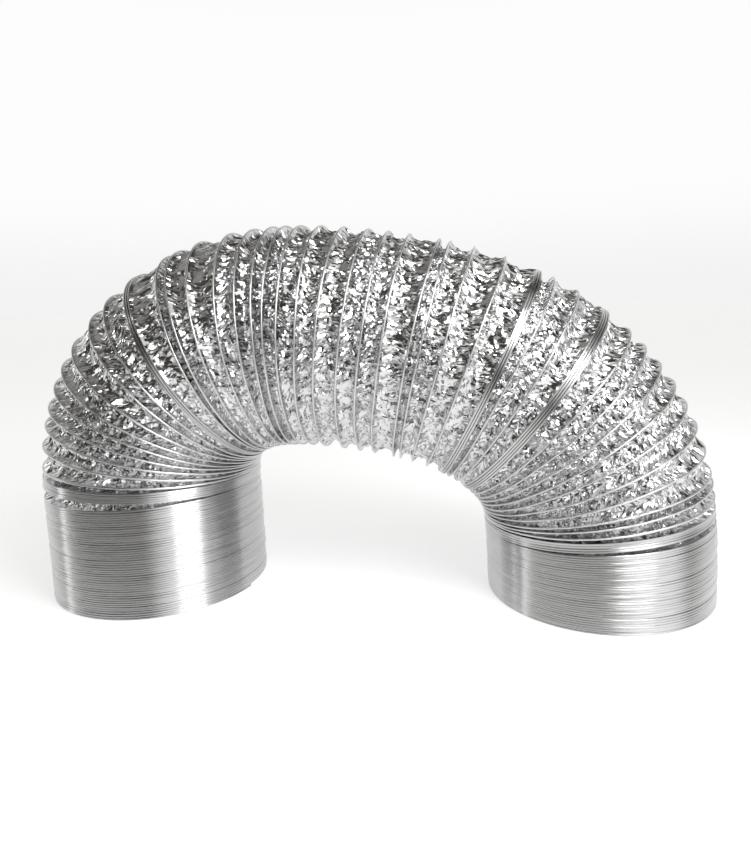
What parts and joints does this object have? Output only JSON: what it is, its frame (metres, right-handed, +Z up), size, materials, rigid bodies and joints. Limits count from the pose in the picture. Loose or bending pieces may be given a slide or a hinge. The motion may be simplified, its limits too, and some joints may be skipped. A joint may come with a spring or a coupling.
{
  "type": "flexible air duct",
  "caption": "Flexible aluminium-foil air duct on a sprung wire helix, standing as an arch on its two closed-up ends.",
  "frame": {"origin": "on the floor, below the middle of the whole duct", "axes": "+X along the arch from the taller stack to the shorter one, +Y towards the back, +Z up"},
  "size_m": [0.4762, 0.154, 0.2561],
  "materials": {
    "wire": "satin",
    "foil": "bright, crumpled"
  },
  "bodies": {
    "left_stack_lower": {"left_stack_lower_wire": "wire", "left_stack_lower_foil": "foil"},
    "left_stack_upper": {"left_stack_upper_wire": "wire", "left_stack_upper_foil": "foil"},
    "left_band": {"left_band_wire": "wire", "left_band_foil": "foil"},
    "arch_01": {"arch_01_wire": "wire", "arch_01_foil": "foil"},
    "arch_02": {"arch_02_wire": "wire", "arch_02_foil": "foil"},
    "arch_03": {"arch_03_wire": "wire", "arch_03_foil": "foil"},
    "arch_04": {"arch_04_wire": "wire", "arch_04_foil": "foil"},
    "arch_05": {"arch_05_wire": "wire", "arch_05_foil": "foil"},
    "arch_06": {"arch_06_wire": "wire", "arch_06_foil": "foil"},
    "arch_07": {"arch_07_wire": "wire", "arch_07_foil": "foil"},
    "arch_08": {"arch_08_wire": "wire", "arch_08_foil": "foil"},
    "arch_09": {"arch_09_wire": "wire", "arch_09_foil": "foil"},
    "arch_10": {"arch_10_wire": "wire", "arch_10_foil": "foil"},
    "arch_11": {"arch_11_wire": "wire", "arch_11_foil": "foil"},
    "arch_12": {"arch_12_wire": "wire", "arch_12_foil": "foil"},
    "arch_13": {"arch_13_wire": "wire", "arch_13_foil": "foil"},
    "arch_14": {"arch_14_wire": "wire", "arch_14_foil": "foil"},
    "arch_15": {"arch_15_wire": "wire", "arch_15_foil": "foil"},
    "arch_16": {"arch_16_wire": "wire", "arch_16_foil": "foil"},
    "arch_17": {"arch_17_wire": "wire", "arch_17_foil": "foil"},
    "arch_18": {"arch_18_wire": "wire", "arch_18_foil": "foil"},
    "arch_19": {"arch_19_wire": "wire", "arch_19_foil": "foil"},
    "arch_20": {"arch_20_wire": "wire", "arch_20_foil": "foil"},
    "arch_21": {"arch_21_wire": "wire", "arch_21_foil": "foil"},
    "right_band": {"right_band_wire": "wire", "right_band_foil": "foil"},
    "right_stack_upper": {"right_stack_upper_wire": "wire", "right_stack_upper_foil": "foil"},
    "right_stack_lower": {"right_stack_lower_wire": "wire", "right_stack_lower_foil": "foil"}
  },
  "joints": [
    {"name": "left_pull", "type": "slide", "parent": "left_stack_lower", "child": "left_stack_upper", "axis": [0, 0, 1], "range_m": [0, 0.9555]},
    {"name": "left_bend_01", "type": "hinge", "parent": "left_stack_upper", "child": "left_band", "pos_m": [-0.16108, 0, 0.0735], "axis": [0, -1, 0], "range_deg": [-0.02, 3.22], "deforming": ["left_stack_upper_foil"]},
    {"name": "left_bend_02", "type": "hinge", "parent": "left_band", "child": "arch_01", "pos_m": [-0.16075, 0, 0.08529], "axis": [0, -1, 0], "range_deg": [-0.02, 3], "deforming": ["left_band_foil"]},
    {"name": "left_bend_03", "type": "hinge", "parent": "arch_01", "child": "arch_02", "pos_m": [-0.15937, 0, 0.09841], "axis": [0, -1, 0], "range_deg": [-0.02, 9.85], "deforming": ["arch_01_foil"]},
    {"name": "left_bend_04", "type": "hinge", "parent": "arch_02", "child": "arch_03", "pos_m": [-0.15502, 0, 0.11452], "axis": [0, -1, 0], "range_deg": [-0.02, 9.25], "deforming": ["arch_02_foil"]},
    {"name": "left_bend", "type": "hinge", "parent": "arch_03", "child": "arch_04", "pos_m": [-0.14774, 0, 0.12986], "axis": [0, -1, 0], "range_deg": [0, 11.31], "deforming": ["arch_03_foil"]},
    {"name": "left_bend_06", "type": "hinge", "parent": "arch_04", "child": "arch_05", "pos_m": [-0.13419, 0, 0.1474], "axis": [0, -1, 0], "range_deg": [-0.02, 10.29], "deforming": ["arch_04_foil"]},
    {"name": "left_bend_07", "type": "hinge", "parent": "arch_05", "child": "arch_06", "pos_m": [-0.11551, 0, 0.16189], "axis": [0, -1, 0], "range_deg": [-0.02, 16.82], "deforming": ["arch_05_foil"]},
    {"name": "left_bend_08", "type": "hinge", "parent": "arch_06", "child": "arch_07", "pos_m": [-0.09824, 0, 0.17049], "axis": [0, -1, 0], "range_deg": [-0.02, 10.44], "deforming": ["arch_06_foil"]},
    {"name": "crown_bend_09", "type": "hinge", "parent": "arch_07", "child": "arch_08", "pos_m": [-0.07503, 0, 0.17684], "axis": [0, -1, 0], "range_deg": [-2.45, 9.73], "deforming": ["arch_07_foil"]},
    {"name": "crown_bend_10", "type": "hinge", "parent": "arch_08", "child": "arch_09", "pos_m": [-0.05565, 0, 0.17891], "axis": [0, -1, 0], "range_deg": [-1.13, 4.45], "deforming": ["arch_08_foil"]},
    {"name": "crown_bend_11", "type": "hinge", "parent": "arch_09", "child": "arch_10", "pos_m": [-0.04125, 0, 0.17902], "axis": [0, -1, 0], "range_deg": [-1.13, 4.45], "deforming": ["arch_09_foil"]},
    {"name": "crown_bend", "type": "hinge", "parent": "arch_10", "child": "arch_11", "pos_m": [-0.01791, 0, 0.17736], "axis": [0, -1, 0], "range_deg": [-1.64, 6.58], "deforming": ["arch_10_foil"]},
    {"name": "crown_bend_13", "type": "hinge", "parent": "arch_11", "child": "arch_12", "pos_m": [0.00904, 0, 0.17372], "axis": [0, -1, 0], "range_deg": [-1.16, 4.58], "deforming": ["arch_11_foil"]},
    {"name": "crown_bend_14", "type": "hinge", "parent": "arch_12", "child": "arch_13", "pos_m": [0.03753, 0, 0.16831], "axis": [0, -1, 0], "range_deg": [-0.32, 1.24], "deforming": ["arch_12_foil"]},
    {"name": "crown_bend_15", "type": "hinge", "parent": "arch_13", "child": "arch_14", "pos_m": [0.0554, 0, 0.16355], "axis": [0, -1, 0], "range_deg": [-2.94, 11.7], "deforming": ["arch_13_foil"]},
    {"name": "right_bend_16", "type": "hinge", "parent": "arch_14", "child": "arch_15", "pos_m": [0.0875, 0, 0.15073], "axis": [0, -1, 0], "range_deg": [-0.02, 2.8], "deforming": ["arch_14_foil"]},
    {"name": "right_bend_17", "type": "hinge", "parent": "arch_15", "child": "arch_16", "pos_m": [0.1035, 0, 0.14165], "axis": [0, -1, 0], "range_deg": [-0.02, 9.62], "deforming": ["arch_15_foil"]},
    {"name": "right_bend", "type": "hinge", "parent": "arch_16", "child": "arch_17", "pos_m": [0.11686, 0, 0.13181], "axis": [0, -1, 0], "range_deg": [0, 9.62], "deforming": ["arch_16_foil"]},
    {"name": "right_bend_19", "type": "hinge", "parent": "arch_17", "child": "arch_18", "pos_m": [0.13181, 0, 0.11787], "axis": [0, -1, 0], "range_deg": [-0.02, 9.23], "deforming": ["arch_17_foil"]},
    {"name": "right_bend_20", "type": "hinge", "parent": "arch_18", "child": "arch_19", "pos_m": [0.14272, 0, 0.10369], "axis": [0, -1, 0], "range_deg": [-0.02, 9.98], "deforming": ["arch_18_foil"]},
    {"name": "right_bend_21", "type": "hinge", "parent": "arch_19", "child": "arch_20", "pos_m": [0.15111, 0, 0.0879], "axis": [0, -1, 0], "range_deg": [-0.02, 10.72], "deforming": ["arch_19_foil"]},
    {"name": "right_bend_22", "type": "hinge", "parent": "arch_20", "child": "arch_21", "pos_m": [0.15654, 0, 0.07086], "axis": [0, -1, 0], "range_deg": [-0.02, 4.37], "deforming": ["arch_20_foil"]},
    {"name": "right_bend_23", "type": "hinge", "parent": "arch_21", "child": "right_band", "pos_m": [0.15818, 0, 0.0614], "axis": [0, -1, 0], "range_deg": [-0.02, 3.77], "deforming": ["arch_21_foil"]},
    {"name": "right_bend_24", "type": "hinge", "parent": "right_band", "child": "right_stack_upper", "pos_m": [0.15935, 0, 0.04946], "axis": [0, -1, 0], "range_deg": [-0.02, 0.1755], "deforming": ["right_band_foil"]},
    {"name": "right_pull", "type": "slide", "parent": "right_stack_upper", "child": "right_stack_lower", "axis": [0, 0, -1], "range_m": [0, 0.6435]}
  ],
  "couplings": [
    {"joint": "left_bend_01", "follows": "left_bend", "ratio": 0.28282},
    {"joint": "left_bend_02", "follows": "left_bend", "ratio": 0.26362},
    {"joint": "left_bend_03", "follows": "left_bend", "ratio": 0.86854},
    {"joint": "left_bend_04", "follows": "left_bend", "ratio": 0.81595},
    {"joint": "left_bend_06", "follows": "left_bend", "ratio": 0.90798},
    {"joint": "left_bend_07", "follows": "left_bend", "ratio": 1.4853},
    {"joint": "left_bend_08", "follows": "left_bend", "ratio": 0.92071},
    {"joint": "crown_bend_09", "follows": "crown_bend", "ratio": 1.4765},
    {"joint": "crown_bend_10", "follows": "crown_bend", "ratio": 0.67397},
    {"joint": "crown_bend_11", "follows": "crown_bend", "ratio": 0.67402},
    {"joint": "crown_bend_13", "follows": "crown_bend", "ratio": 0.69335},
    {"joint": "crown_bend_14", "follows": "crown_bend", "ratio": 0.18525},
    {"joint": "crown_bend_15", "follows": "crown_bend", "ratio": 1.7754},
    {"joint": "right_bend_16", "follows": "right_bend", "ratio": 0.28898},
    {"joint": "right_bend_17", "follows": "right_bend", "ratio": 0.99802},
    {"joint": "right_bend_19", "follows": "right_bend", "ratio": 0.95807},
    {"joint": "right_bend_20", "follows": "right_bend", "ratio": 1.0352},
    {"joint": "right_bend_21", "follows": "right_bend", "ratio": 1.1124},
    {"joint": "right_bend_22", "follows": "right_bend", "ratio": 0.45224},
    {"joint": "right_bend_23", "follows": "right_bend", "ratio": 0.39035},
    {"joint": "right_bend_24", "follows": "right_bend", "ratio": 0.016168}
  ]
}
